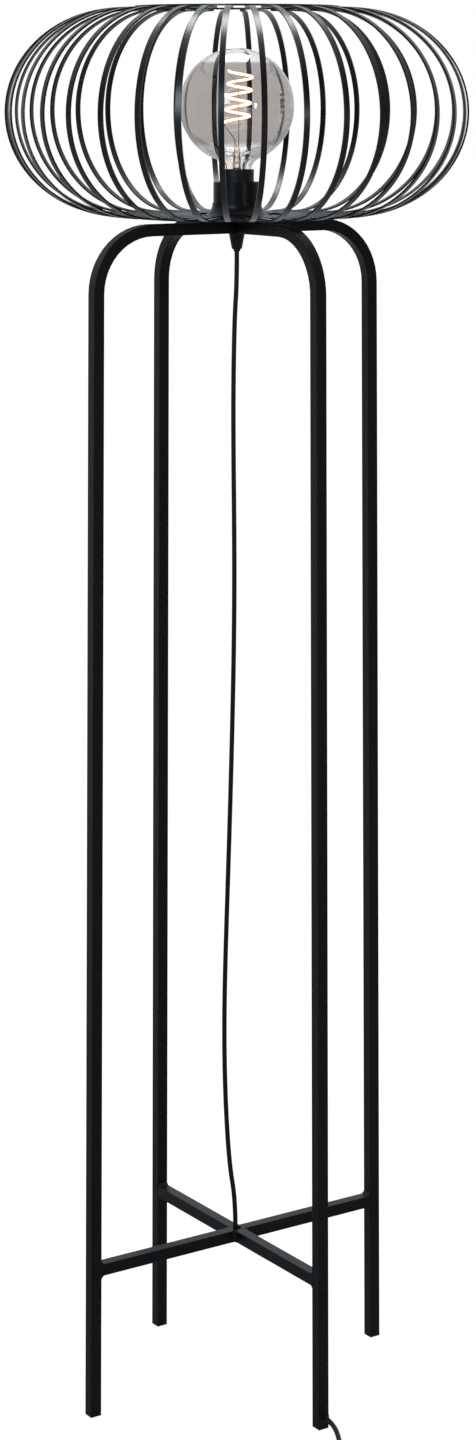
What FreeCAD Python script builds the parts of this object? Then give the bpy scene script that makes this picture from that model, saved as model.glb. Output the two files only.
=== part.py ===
import FreeCAD, Part

# Floor lamp: a bulging cage of flat strips round a globe bulb, on two crossed arches of square tube.
# Millimetres, +Z up, origin on the floor at the middle of the crossed frames.
# The long frame lies along X and the short frame along Y.

import math
import os

from FreeCAD import Vector

os.makedirs("parts", exist_ok=True)

# ---------------------------------------------------------------- driving dimensions
# frame tube
tube = 12.7
tube_wall = 1.2
tube_corner = 0.8
long_reach = 177.0
short_reach = 151.7
leg_lean = 7.3
bar_top = 1269.0
bend_radius = 66.0
cross_top = 163.0
weld_leg = 4.0
weld_gap = 0.02
fillet_leg = 3.2
sole_thickness = 1.2
sole_plug_height = 6.0
sole_plug_clearance = 0.15

# cage
cage_gap = 4.5
plate_radius = 112.0
plate_thickness = 1.5
strip_count = 36
strip_width = 6.0
strip_thickness = 2.0
strip_phase = 2.6
cage_radius = 250.0
cage_shoulder = 125.5
cage_rise = 222.5
tail_radius = 50.0
ring_radius = 110.0
ring_width = 10.0
ring_thickness = 2.0

# cage screws and spacers
screw_circle = 42.0
screw_radius = 2.0
screw_hole_clearance = 0.15
screw_head_radius = 3.8
screw_head_height = 2.4
screw_bite = 3.0
spacer_radius = 4.5
centre_spacer_radius = 11.0

# threaded nipple and nuts
nipple_radius = 5.0
nipple_bore = 3.6
nipple_hole_clearance = 0.2
nut_across_flats = 14.0
nut_height = 3.0
cup_nut_height = 2.5
nipple_above_floor = 1.5
nipple_in_gland = 10.0

# cord gland
gland_top_radius = 8.7
gland_low_radius = 5.5
gland_cone_height = 17.0
gland_nose_radius = 3.7
gland_nose_height = 2.5
grip_screw_radius = 1.5
grip_screw_height = 3.5
grip_screw_length = 2.6

# flared foot, cup and lampholder
flare_radius = 35.5
flare_height = 14.0
flare_waist = 28.0
flare_waist_height = 5.2
sheet = 1.0
cup_radius = 25.4
cup_height = 33.8
cup_fit = 0.2
skirt_radius = 18.45
skirt_wall = 1.5
skirt_height = 41.2
holder_floor = 2.5
closing_ring_thickness = 2.0
core_clearance = 0.3
core_foot_height = 3.0
core_floor = 2.0
core_height = 21.5
shell_wall = 0.5
contact_height = 1.0
contact_radius = 4.0
terminal_offset = 10.5
terminal_radius = 1.6

# bulb
globe_radius = 62.0
globe_above_cap = 77.7
glass_wall = 1.0
neck_radius = 15.8
neck_blend = 12.0
cap_radius = 13.1
cap_clearance = 0.4
cap_thread_pitch = 3.62
cap_thread_depth = 0.5
cap_turns = 4
cap_collar_radius = 13.8
cap_collar_height = 6.0
cap_height = 22.5
cap_insulator_height = 2.6
bulb_contact_radius = 4.5
bulb_contact_height = 1.2
stem_radius = 5.0
stem_flare_radius = 11.0
stem_below_middle = 42.7
filament_radius = 13.0
filament_wire = 1.2
filament_pitch = 13.9
filament_turns = 4
filament_below_middle = 18.1
filament_start_angle = 146.4
filament_lean = 4.5
support_wire = 0.5

# cord
cord_width = 5.2
cord_clearance = 0.3
cord_sway = (-7.4, 4.6, -3.7, 0.3, -0.8)
cord_depth_sway = 2.0
cord_hole_radius = 4.8
cord_in_hole_x = -1.9
passage_radius = 4.8
inner_bend = 5.0
exit_height = 12.5
bushing_radius = 4.6
bushing_flange_radius = 6.0
bushing_flange = 1.0

# foot switch
switch_length = 64.0
switch_width = 36.0
switch_height = 21.0
switch_x = -30.0
switch_rear_y = -250.0
switch_split = 9.0
switch_wall = 2.0
switch_corner = 12.0
switch_top_round = 5.0
switch_fit = 0.15
button_radius = 11.5
button_gap = 0.4
button_proud = 4.0
button_travel = 3.0
button_skirt = 4.0
button_rim = 1.5
button_roof = 3.0
contact_block_length = 24.0
contact_block_width = 18.0
contact_block_height = 6.0
spring_radius = 5.0
spring_wire = 0.5
spring_turns = 4
switch_screw_radius = 1.4
switch_screw_bite = 6.0
switch_pillar_radius = 3.2
switch_screw_x = 10.0
switch_screw_y = 22.0
lead_stop = 0.7

# coil of the put-away lead
coil_x = -112.0
coil_y = -347.0
coil_outer_radius = 37.5
coil_pitch = 5.7
coil_lift = 1.0
coil_turns_in = 3.5
coil_turns_out = 4.25
tie_width = 8.0
tie_thickness = 0.7
tie_clearance = 0.3

# plug
plug_body_length = 36.0
plug_body_width = 35.0
plug_rear_width = 13.0
plug_thickness = 13.7
plug_shoulder = 14.0
plug_edge = 2.5
plug_rear_y = -300.0
pin_radius = 2.0
pin_length = 19.0
pin_spacing = 18.6

# ---------------------------------------------------------------- derived heights and radii
bar_axis = bar_top - tube / 2
bar_bottom = bar_top - tube
cross_axis = cross_top - tube / 2
tube_bore = tube - 2 * tube_wall
plate_bottom = bar_top + cage_gap
plate_top = plate_bottom + plate_thickness
strip_low = plate_top
strip_high = strip_low + cage_rise + strip_thickness
strip_middle = (strip_low + strip_high) / 2
ring_bottom = strip_high
nut_top = plate_top + nut_height
cup_floor_top = nut_top + sheet
cup_top = nut_top + cup_height
cup_nut_top = cup_floor_top + cup_nut_height
holder_floor_top = cup_nut_top + holder_floor
skirt_top = holder_floor_top + skirt_height
nipple_top = holder_floor_top + nipple_above_floor
nipple_bottom = bar_bottom - nipple_in_gland
nipple_hole = nipple_radius + nipple_hole_clearance
gland_cone_bottom = bar_bottom - gland_cone_height
gland_tip = gland_cone_bottom - gland_nose_height
skirt_bore = skirt_radius - skirt_wall
core_radius = skirt_bore - core_clearance
core_floor_bottom = holder_floor_top + core_foot_height
core_floor_top = core_floor_bottom + core_floor
core_top = holder_floor_top + core_height
shell_bore = cap_radius + cap_clearance
shell_radius = shell_bore + shell_wall
bulb_tip = core_floor_top + contact_height
cap_bottom = bulb_tip + bulb_contact_height + cap_insulator_height
cap_top = cap_bottom + cap_height
globe_middle = cap_top + globe_above_cap
stem_bottom = cap_top + glass_wall
stem_top = globe_middle - stem_below_middle
filament_bottom = globe_middle - filament_below_middle
filament_top = filament_bottom + filament_pitch * filament_turns
cord_radius = cord_width / 2
leg_foot = sole_thickness
coil_low = coil_lift + cord_radius
coil_high = coil_low + coil_pitch
switch_front_y = switch_rear_y - switch_length
switch_middle_y = switch_rear_y - switch_length / 2
plug_middle = plug_thickness / 2
coil_end_x = coil_x - (coil_outer_radius - coil_pitch * (coil_turns_in - coil_turns_out))

UP = Vector(0, 0, 1)
ORIGIN = Vector(0, 0, 0)


# ---------------------------------------------------------------- helpers
def save(name, *solids):
    """Writes one sub-part, of one or more separate solids, to its own file."""
    shape = solids[0] if len(solids) == 1 else Part.Compound(list(solids))
    shape.exportStep("parts/" + name + ".step")


def block(x0, x1, y0, y1, z0, z1):
    """A box between two corners."""
    return Part.makeBox(x1 - x0, y1 - y0, z1 - z0, Vector(x0, y0, z0))


def rod(radius, z0, z1, x=0.0, y=0.0):
    """An upright cylinder."""
    return Part.makeCylinder(radius, z1 - z0, Vector(x, y, z0))


def pipe(radius, bore, z0, z1, x=0.0, y=0.0):
    """An upright tube."""
    return rod(radius, z0, z1, x, y).cut(rod(bore, z0 - 1, z1 + 1, x, y))


def turned(points):
    """A solid of revolution round Z from a closed outline of (radius, height) corners."""
    corners = [Vector(r, 0, z) for r, z in points]
    outline = Part.makePolygon(corners + corners[:1])
    return Part.Face(outline).revolve(ORIGIN, UP, 360)


def turned_edges(edges):
    """A solid of revolution round Z from the edges of a closed outline."""
    return Part.Face(Part.Wire(edges)).revolve(ORIGIN, UP, 360)


def line(a, b):
    return Part.LineSegment(a, b).toShape()


def arc(a, b, c):
    return Part.Arc(a, b, c).toShape()


def at_radius(r, z):
    return Vector(r, 0, z)


def hexagon(across_flats, z0, z1):
    """A hexagonal prism round Z."""
    outer = across_flats / math.sqrt(3)
    corners = [Vector(outer * math.cos(math.radians(60 * k)), outer * math.sin(math.radians(60 * k)), z0)
               for k in range(7)]
    return Part.Face(Part.makePolygon(corners)).extrude(Vector(0, 0, z1 - z0))


def spun(shape, degrees):
    """A copy turned round Z."""
    copy = shape.copy()
    copy.rotate(ORIGIN, UP, degrees)
    return copy


def swept(wire, profile, start, direction):
    """A solid of one flat profile, drawn round Z, carried along a wire."""
    section = profile.copy()
    section.Placement = FreeCAD.Placement(start, FreeCAD.Rotation(UP, direction))
    return wire.makePipeShell([section], True, False)


def square_wire(side, corner):
    """A square outline with rounded corners."""
    half = side / 2
    flat = half - corner
    deep = flat + corner * math.sqrt(0.5)
    quarter = [line(Vector(half, -flat, 0), Vector(half, flat, 0)),
               arc(Vector(half, flat, 0), Vector(deep, deep, 0), Vector(flat, half, 0))]
    edges = [spun(edge, 90 * k) for k in range(4) for edge in quarter]
    return Part.Wire(Part.__sortEdges__(edges))


def round_wire(radius):
    return Part.Wire(Part.makeCircle(radius))


def corner_arc(before, corner, after, radius):
    """Start, middle and end of the arc that rounds one corner of a route."""
    a = (before - corner).normalize()
    b = (after - corner).normalize()
    half = a.getAngle(b) / 2
    reach = radius / math.tan(half)
    inward = (a + b).normalize()
    start = corner + a * reach
    end = corner + b * reach
    middle = corner + inward * (radius / math.sin(half) - radius)
    return start, middle, end


def rounded_route(points, radii):
    """A wire of straight runs joined by tangent arcs, one radius for each inner point."""
    edges = []
    last = points[0]
    for before, corner, after, radius in zip(points, points[1:], points[2:], radii):
        start, middle, end = corner_arc(before, corner, after, radius)
        edges.append(line(last, start))
        edges.append(arc(start, middle, end))
        last = end
    edges.append(line(last, points[-1]))
    return Part.Wire(edges)


def free_radii(points):
    """Radius at each inner point: 0.45 of the shorter run over the tangent of half the turn."""
    radii = []
    for before, corner, after in zip(points, points[1:], points[2:]):
        shorter = min((corner - before).Length, (after - corner).Length)
        turn = (corner - before).getAngle(after - corner)
        radii.append(0.45 * shorter / math.tan(turn / 2))
    return radii


def cord_tube(name, points, radii=None):
    """A round tube along a route, with its radii and its volume against section times length."""
    if radii is None:
        radii = free_radii(points)
    route = rounded_route(points, radii)
    solid = swept(route, round_wire(cord_radius), points[0], points[1] - points[0])
    ideal = math.pi * cord_radius ** 2 * route.Length
    print(name, "length", round(route.Length, 1), "least radius", round(min(radii), 1),
          "volume share", round(solid.Volume / ideal, 4))
    return solid


def biarc(a, a_dir, b, b_dir):
    """Two tangent arcs from one point and direction to another."""
    v = b - a
    both = a_dir + b_dir
    k = 2 * (1 - a_dir.dot(b_dir))
    along = v.dot(both)
    reach = (math.sqrt(along ** 2 + k * v.dot(v)) - along) / k
    joint = (a + a_dir * reach + b - b_dir * reach) * 0.5
    return [tangent_arc(a, a_dir, joint), tangent_arc(b, b_dir * -1, joint)]


def tangent_arc(start, direction, end):
    """The arc that leaves start along direction and reaches end."""
    chord = end - start
    side = (chord - direction * chord.dot(direction)).normalize()
    radius = chord.dot(chord) / (2 * chord.dot(side))
    centre = start + side * radius
    middle = centre + ((start + end) * 0.5 - centre).normalize() * radius
    return arc(start, middle, end)


def wound_wire(place, turns, lead_in, lead_out):
    """A wire of biarcs, a quarter turn each, along place(turns), with straight ends."""
    steps = round(turns * 4)
    small = 0.001
    nodes = []
    for i in range(steps + 1):
        u = turns * i / steps
        ahead = place(min(u + small, turns))
        behind = place(max(u - small, 0.0))
        nodes.append((place(u), (ahead - behind).normalize()))
    edges = []
    if lead_in > 0:
        edges.append(line(nodes[0][0] - nodes[0][1] * lead_in, nodes[0][0]))
    for (a, a_dir), (b, b_dir) in zip(nodes, nodes[1:]):
        edges.extend(biarc(a, a_dir, b, b_dir))
    if lead_out > 0:
        edges.append(line(nodes[-1][0], nodes[-1][0] + nodes[-1][1] * lead_out))
    return Part.Wire(Part.__sortEdges__(edges))


def wound_tube(place, turns, radius, lead_in=0.0, lead_out=0.0):
    """One unbroken tube wound along place(turns)."""
    wire = wound_wire(place, turns, lead_in, lead_out)
    start = wire.OrderedEdges[0]
    first = place(0.0)
    direction = (place(0.001) - first).normalize()
    section = Part.Wire(Part.makeCircle(radius, first - direction * lead_in, direction))
    solid = wire.makePipeShell([section], True, False)
    return solid, wire


def least_gap(place, turns, width):
    """Least gap between a winding's own turns, measured on points along it."""
    per_turn = 72
    points = [place(turns * i / (turns * per_turn)) for i in range(int(turns * per_turn) + 1)]
    least = 1e9
    for i, p in enumerate(points):
        for q in points[i + per_turn // 2:]:
            least = min(least, (p - q).Length)
    return least - width


# ---------------------------------------------------------------- frame of square tube
def reach_at(reach, z):
    """Distance of a leg's middle line from the lamp's axis: the legs lean out a little towards the floor."""
    return reach + leg_lean * (bar_axis - z) / bar_axis


def below_legs():
    wide = cage_radius
    return block(-wide, wide, -wide, wide, -tube, leg_foot)


def tube_along(points, radii):
    """A hollow square tube along a route with bends."""
    route = rounded_route(points, radii)
    start = points[0]
    direction = points[1] - points[0]
    outer = swept(route, square_wire(tube, tube_corner), start, direction)
    inner = swept(route, square_wire(tube_bore, max(tube_corner - tube_wall, 0.2)), start, direction)
    return outer.cut(inner)


def nipple_passage():
    return rod(nipple_hole, bar_bottom - 1, bar_top + 1)


def cage_screw_passages():
    """Clearance holes of the cage screws in the top bars' upper walls."""
    hole = screw_radius + screw_hole_clearance
    one = rod(hole, bar_top - tube_wall - 1, bar_top + 1, screw_circle)
    return [spun(one, 90 * k) for k in range(4)]


def long_arch():
    foot = reach_at(long_reach, 0)
    points = [Vector(-foot, 0, 0), Vector(-long_reach, 0, bar_axis), Vector(long_reach, 0, bar_axis), Vector(foot, 0, 0)]
    arch = tube_along(points, [bend_radius, bend_radius])
    return arch.cut([nipple_passage(), below_legs()] + cage_screw_passages())


def half_arch(side):
    """One leg and the bar from it to the long arch; side is -1 in front and +1 behind."""
    points = [Vector(0, side * tube / 2, bar_axis), Vector(0, side * short_reach, bar_axis),
              Vector(0, side * reach_at(short_reach, 0), 0)]
    return tube_along(points, [bend_radius]).cut([below_legs()] + cage_screw_passages())


def front_half_arch():
    """The front leg also takes the lead in at the lower cross and out by the foot."""
    cross_y = -reach_at(short_reach, cross_axis)
    exit_y = -reach_at(short_reach, exit_height)
    inner_hole = Part.makeCylinder(passage_radius, tube, Vector(0, cross_y, cross_axis), Vector(0, 1, 0))
    outer_hole = Part.makeCylinder(bushing_radius, tube, Vector(0, exit_y, exit_height), Vector(0, -1, 0))
    return half_arch(-1).cut([inner_hole, outer_hole])


def long_stretcher():
    inside = reach_at(long_reach, cross_top) - tube / 2 - weld_gap
    bar = tube_along([Vector(-inside, 0, cross_axis), Vector(inside, 0, cross_axis)], [])
    top_hole = rod(cord_hole_radius, cross_axis, cross_top + 1)
    side_hole = Part.makeCylinder(passage_radius, tube, Vector(0, 0, cross_axis), Vector(0, -1, 0))
    return bar.cut([top_hole, side_hole])


def half_stretcher(side):
    inside = reach_at(short_reach, cross_top) - tube / 2 - weld_gap
    points = [Vector(0, side * tube / 2, cross_axis), Vector(0, side * inside, cross_axis)]
    return tube_along(points, [])


def cross_weld():
    """The weld facet in one corner of the lower cross."""
    low = cross_axis - tube / 2 + tube_corner
    near = tube / 2
    corners = [Vector(near, near, low), Vector(near + weld_leg, near, low), Vector(near, near + weld_leg, low)]
    return Part.Face(Part.makePolygon(corners + corners[:1])).extrude(Vector(0, 0, tube - 2 * tube_corner))


def leg_welds(reach):
    """The weld fillets over and under the stretcher's end at a leg, drawn at the leg on +X."""
    half = tube / 2 - tube_corner
    fillets = []
    for side in (1, -1):
        level = cross_axis + side * tube / 2
        face = reach_at(reach, level) - tube / 2 - weld_gap
        far_face = reach_at(reach, level + side * fillet_leg) - tube / 2 - weld_gap
        corners = [Vector(face - fillet_leg, -half, level), Vector(face, -half, level),
                   Vector(far_face, -half, level + side * fillet_leg)]
        fillets.append(Part.Face(Part.makePolygon(corners + corners[:1])).extrude(Vector(0, 2 * half, 0)))
    return fillets


def sole(x, y):
    """A plastic sole of the tube's own size with a plug inside the leg."""
    half = tube / 2
    plug_half = tube_bore / 2 - sole_plug_clearance
    pad = block(x - half, x + half, y - half, y + half, 0, sole_thickness)
    pad = pad.makeFillet(tube_corner, [edge for edge in pad.Edges if edge.BoundBox.ZLength > sole_thickness / 2])
    plug = block(x - plug_half, x + plug_half, y - plug_half, y + plug_half, 0, sole_thickness + sole_plug_height)
    return pad.fuse(plug).removeSplitter()


save("long_arch", long_arch())
save("front_half_arch", front_half_arch())
save("rear_half_arch", half_arch(1))
save("long_stretcher", long_stretcher())
save("front_half_stretcher", half_stretcher(-1))
save("rear_half_stretcher", half_stretcher(1))
corner_welds = [spun(cross_weld(), 90 * k) for k in range(4)]
end_welds = [spun(weld, 90 * k) for k in range(4) for weld in leg_welds(long_reach if k % 2 == 0 else short_reach)]
save("cross_welds", *corner_welds, *end_welds)
long_foot = reach_at(long_reach, 0)
short_foot = reach_at(short_reach, 0)
save("leg_soles", sole(-long_foot, 0), sole(long_foot, 0), sole(0, -short_foot), sole(0, short_foot))


# ---------------------------------------------------------------- cage
def cage_strip():
    """One flat strip: tail on the plate, bulge, and head under the top ring, at angle zero."""
    rise = (strip_high - strip_low) / 2
    bulge = cage_radius - cage_shoulder

    def half_oval(across, up):
        major, minor = max(across, up), min(across, up)
        long_way = Vector(1, 0, 0) if across >= up else UP
        oval = Part.Ellipse(Vector(cage_shoulder, 0, strip_middle) + long_way * major,
                            Vector(cage_shoulder, 0, strip_middle) + Vector(long_way.z, 0, long_way.x) * minor,
                            Vector(cage_shoulder, 0, strip_middle))
        low = Vector(cage_shoulder, 0, strip_middle - up)
        high = Vector(cage_shoulder, 0, strip_middle + up)
        a, b = oval.parameter(low), oval.parameter(high)
        for first, last in ((a, b), (b, a), (a, b + 2 * math.pi), (b, a + 2 * math.pi)):
            if last > first and oval.value((first + last) / 2).x > cage_shoulder + across / 2:
                return Part.ArcOfEllipse(oval, first, last).toShape()

    outer = half_oval(bulge, rise)
    inner = half_oval(bulge - strip_thickness, rise - strip_thickness)
    head = ring_radius - ring_width
    low_in = strip_low + strip_thickness
    high_in = strip_high - strip_thickness
    edges = [outer, inner,
             line(at_radius(tail_radius, strip_low), at_radius(cage_shoulder, strip_low)),
             line(at_radius(tail_radius, low_in), at_radius(cage_shoulder, low_in)),
             line(at_radius(tail_radius, strip_low), at_radius(tail_radius, low_in)),
             line(at_radius(head, strip_high), at_radius(cage_shoulder, strip_high)),
             line(at_radius(head, high_in), at_radius(cage_shoulder, high_in)),
             line(at_radius(head, strip_high), at_radius(head, high_in))]
    outline = Part.Face(Part.Wire(Part.__sortEdges__(edges)))
    outline.translate(Vector(0, -strip_width / 2, 0))
    return outline.extrude(Vector(0, strip_width, 0))


def base_plate():
    plate = rod(plate_radius, plate_bottom, plate_top)
    hole = rod(screw_radius + screw_hole_clearance, plate_bottom - 1, plate_top + 1, screw_circle)
    return plate.cut([rod(nipple_hole, plate_bottom - 1, plate_top + 1)] + [spun(hole, 90 * k) for k in range(4)])


def cage_screw():
    shank_end = bar_top - tube_wall - screw_bite
    shank = rod(screw_radius, shank_end, plate_top + screw_head_height / 2, screw_circle)
    head = rod(screw_head_radius, plate_top, plate_top + screw_head_height, screw_circle)
    rim = [edge for edge in head.Edges if edge.BoundBox.ZMin > plate_top + screw_head_height / 2
           and edge.BoundBox.XLength > screw_head_radius]
    return head.makeFillet(screw_head_height / 3, rim).fuse(shank).removeSplitter()


def cage_spacer():
    return pipe(spacer_radius, screw_radius + screw_hole_clearance, bar_top, plate_bottom, screw_circle)


save("cage_top_ring", pipe(ring_radius, ring_radius - ring_width, ring_bottom, ring_bottom + ring_thickness))
save("cage_base_plate", base_plate())
strip = cage_strip()
strips_per_set = 4
set_count = strip_count // strips_per_set
for number in range(set_count):
    angle = strip_phase + number * 360 / strip_count
    save("cage_strips_%d" % (number + 1), *[spun(strip, angle + 360 / strips_per_set * k) for k in range(strips_per_set)])
save("cage_screws", *[spun(cage_screw(), 90 * k) for k in range(4)])
save("cage_spacers", *[spun(cage_spacer(), 90 * k) for k in range(4)])
save("centre_spacer", pipe(centre_spacer_radius, nipple_hole, bar_top, plate_bottom))


# ---------------------------------------------------------------- nipple, nuts and gland
def cord_gland():
    """Screwed on the nipple from below: it holds the crossing together and grips the cord."""
    cone = turned([(0, bar_bottom), (gland_top_radius, bar_bottom), (gland_low_radius, gland_cone_bottom),
                   (gland_nose_radius, gland_cone_bottom), (gland_nose_radius, gland_tip), (0, gland_tip)])
    thread = rod(nipple_radius, nipple_bottom, bar_bottom + 1)
    bore = rod(cord_radius + cord_clearance, gland_tip - 1, bar_bottom + 1)
    screw_level = gland_cone_bottom + grip_screw_height
    grip = Part.makeCylinder(grip_screw_radius, gland_top_radius, Vector(0, 0, screw_level), Vector(0, 1, 0))
    return cone.cut([thread, bore, grip])


def grip_screw():
    level = gland_cone_bottom + grip_screw_height
    return Part.makeCylinder(grip_screw_radius, grip_screw_length, Vector(0, cord_radius, level), Vector(0, 1, 0))


save("threaded_nipple", pipe(nipple_radius, nipple_bore, nipple_bottom, nipple_top))
save("plate_nut", hexagon(nut_across_flats, plate_top, nut_top).cut(rod(nipple_radius, plate_top - 1, nut_top + 1)))
save("cord_gland", cord_gland())
save("gland_grip_screw", grip_screw())


# ---------------------------------------------------------------- flared foot, cup, lampholder
def flared_foot():
    """A spun trumpet of sheet: wide on the plate, close to the cup at its top."""
    top_radius = cup_radius + cup_fit
    top = plate_top + flare_height
    waist = plate_top + flare_waist_height
    edges = [arc(at_radius(flare_radius, plate_top), at_radius(flare_waist, waist), at_radius(top_radius, top)),
             line(at_radius(top_radius, top), at_radius(top_radius + sheet, top)),
             arc(at_radius(top_radius + sheet, top), at_radius(flare_waist + sheet, waist + sheet / 2),
                 at_radius(flare_radius + sheet / 2, plate_top + sheet)),
             line(at_radius(flare_radius + sheet / 2, plate_top + sheet), at_radius(flare_radius + sheet / 2, plate_top)),
             line(at_radius(flare_radius + sheet / 2, plate_top), at_radius(flare_radius, plate_top))]
    return turned_edges(edges)


def holder_cup():
    round_edge = 2 * sheet
    outer = rod(cup_radius, nut_top, cup_top)
    low = [edge for edge in outer.Edges if edge.BoundBox.ZMax < nut_top + sheet and edge.BoundBox.XLength > cup_radius]
    outer = outer.makeFillet(round_edge, low)
    return outer.cut([rod(cup_radius - sheet, cup_floor_top, cup_top + 1), rod(nipple_hole, nut_top - 1, cup_top)])


def holder_body():
    """Plain insulating skirt with a threaded floor on the nipple."""
    wall = pipe(skirt_radius, skirt_bore, holder_floor_top, skirt_top)
    floor = pipe(skirt_radius, nipple_radius, cup_nut_top, holder_floor_top)
    return wall.fuse(floor).removeSplitter()


def closing_ring():
    return pipe(cup_radius - sheet - cup_fit / 4, skirt_radius + cup_fit, cup_top - closing_ring_thickness, cup_top)


def holder_core():
    """Ceramic insulator that stands on a foot ring over the nipple's end."""
    body = rod(core_radius, holder_floor_top, core_top)
    recess = rod(core_radius - 2 * sheet, holder_floor_top - 1, core_floor_bottom)
    well = rod(shell_radius, core_floor_top, core_top + 1)
    side = [rod(terminal_radius, core_floor_bottom - 1, core_floor_top + 1, x) for x in (-terminal_offset, terminal_offset)]
    return body.cut([recess, well] + side)


def terminal_screw(side):
    """A screw through the core's floor, head below in the recess."""
    x = side * terminal_offset
    shank = rod(terminal_radius - 0.1, core_floor_bottom - 1.5, core_floor_top, x)
    head = rod(terminal_radius + 1, core_floor_bottom - 1.5, core_floor_bottom, x)
    return shank.fuse(head).removeSplitter()


def screw_shell():
    """Brass sleeve that takes the bulb's cap."""
    return pipe(shell_radius, shell_bore, core_floor_top, core_top)


def centre_contact():
    """Brass leaf under the bulb's contact."""
    return rod(contact_radius, core_floor_top, bulb_tip)


save("cup_nut", hexagon(nut_across_flats, cup_floor_top, cup_nut_top).cut(
    rod(nipple_radius, cup_floor_top - 1, cup_nut_top + 1)))
save("flared_foot", flared_foot())
save("holder_cup", holder_cup())
save("holder_body", holder_body())
save("closing_ring", closing_ring())
save("holder_core", holder_core())
save("screw_shell", screw_shell())
save("centre_contact", centre_contact())
save("terminal_screws", terminal_screw(-1), terminal_screw(1))


# ---------------------------------------------------------------- bulb
def glass_profile(offset):
    """Edges of the globe's outline, from the neck's foot to the pole, drawn in by an offset."""
    globe = globe_radius - offset
    neck = neck_radius - offset
    blend = neck_blend + offset
    reach = globe + blend
    across = neck + blend
    drop = math.sqrt(reach ** 2 - across ** 2)
    blend_z = globe_middle - drop
    share = globe / reach
    foot = at_radius(neck, cap_top + offset)
    neck_end = at_radius(neck, blend_z)
    globe_start = at_radius(across * share, globe_middle - drop * share)
    lean = math.atan2(drop, across) / 2
    blend_middle = at_radius(across - blend * math.cos(lean), blend_z + blend * math.sin(lean))
    side = (globe_start - Vector(0, 0, globe_middle)).normalize()
    tip = math.atan2(side.z, side.x)
    half = (tip + math.pi / 2) / 2
    globe_mid = Vector(globe * math.cos(half), 0, globe_middle + globe * math.sin(half))
    pole = at_radius(0, globe_middle + globe)
    return foot, [line(foot, neck_end), arc(neck_end, blend_middle, globe_start), arc(globe_start, globe_mid, pole)], pole


def bulb_glass():
    outer_foot, outer_edges, outer_pole = glass_profile(0.0)
    inner_foot, inner_edges, inner_pole = glass_profile(glass_wall)
    bottom = at_radius(stem_radius, cap_top)
    inner_bottom = at_radius(stem_radius, cap_top + glass_wall)
    edges = outer_edges + inner_edges
    edges += [line(outer_foot, bottom), line(bottom, inner_bottom), line(inner_bottom, inner_foot),
              line(outer_pole, inner_pole)]
    return turned_edges(Part.__sortEdges__(edges))


def bulb_cap():
    """Metal screw cap with rolled ridges and a smooth collar round the glass."""
    root = cap_radius - cap_thread_depth
    points = [(root - sheet / 2, cap_bottom), (root, cap_bottom)]
    for k in range(cap_turns):
        low = cap_bottom + cap_thread_pitch * k
        points += [(root, low + 0.3), (cap_radius, low + cap_thread_pitch / 2), (root, low + cap_thread_pitch)]
    collar = cap_top - cap_collar_height
    points += [(root, collar - 1), (cap_collar_radius, collar), (cap_collar_radius, cap_top),
               (root - sheet / 2, cap_top)]
    return turned(points)


def bulb_insulator():
    root = cap_radius - cap_thread_depth - sheet / 2
    return turned([(0, cap_bottom), (root, cap_bottom), (bulb_contact_radius, cap_bottom - cap_insulator_height),
                   (0, cap_bottom - cap_insulator_height)])


def bulb_stem():
    """Glass foot inside the neck that carries the wires."""
    pinch = (stem_top - stem_bottom) * 0.4
    edges = [line(at_radius(0, stem_bottom), at_radius(stem_flare_radius, stem_bottom)),
             arc(at_radius(stem_flare_radius, stem_bottom),
                 at_radius(stem_radius + 1.2, stem_bottom + pinch / 3),
                 at_radius(stem_radius, stem_bottom + pinch)),
             line(at_radius(stem_radius, stem_bottom + pinch), at_radius(stem_radius / 2, stem_top)),
             line(at_radius(stem_radius / 2, stem_top), at_radius(0, stem_top)),
             line(at_radius(0, stem_top), at_radius(0, stem_bottom))]
    return turned_edges(edges)


def filament_place(u):
    """Point of the spiral filament after u turns; it leans a little to one side as it rises."""
    start = math.radians(filament_start_angle)
    angle = start - 2 * math.pi * u
    lean = Vector(-math.cos(start), -math.sin(start), 0) * (filament_lean * u / filament_turns)
    return lean + Vector(filament_radius * math.cos(angle), filament_radius * math.sin(angle),
                         filament_bottom + filament_pitch * u)


def support_wires():
    """Two stiff wires from the stem to the filament's ends."""
    low = filament_place(0.0)
    high = filament_place(float(filament_turns))
    outward = Vector(low.x, low.y, 0).normalize()
    start = outward * (stem_radius / 2 - support_wire)
    end_run = filament_wire + 2
    first = wire_along([start + UP * stem_top, start + UP * (stem_top + 6),
                        low - UP * end_run, low - UP * filament_wire], 1.5)
    second = wire_along([UP * stem_top - start, UP * (high.z - filament_pitch) - start,
                         high - UP * end_run, high - UP * filament_wire], 1.5)
    return first, second


def wire_along(points, radius):
    route = rounded_route(points, [radius] * (len(points) - 2))
    return swept(route, round_wire(support_wire), points[0], points[1] - points[0])


filament, filament_line = wound_tube(filament_place, filament_turns, filament_wire)
print("filament least gap", round(least_gap(filament_place, filament_turns, 2 * filament_wire), 2))
save("bulb_glass", bulb_glass())
save("bulb_cap", bulb_cap())
save("bulb_insulator", bulb_insulator())
save("bulb_contact", rod(bulb_contact_radius, bulb_tip, bulb_tip + bulb_contact_height))
save("bulb_stem", bulb_stem())
save("spiral_filament", filament)
save("filament_supports", *support_wires())


# ---------------------------------------------------------------- cord
lead_exit = reach_at(short_reach, exit_height) + tube / 2 + bushing_flange + 2 * weld_gap


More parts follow.
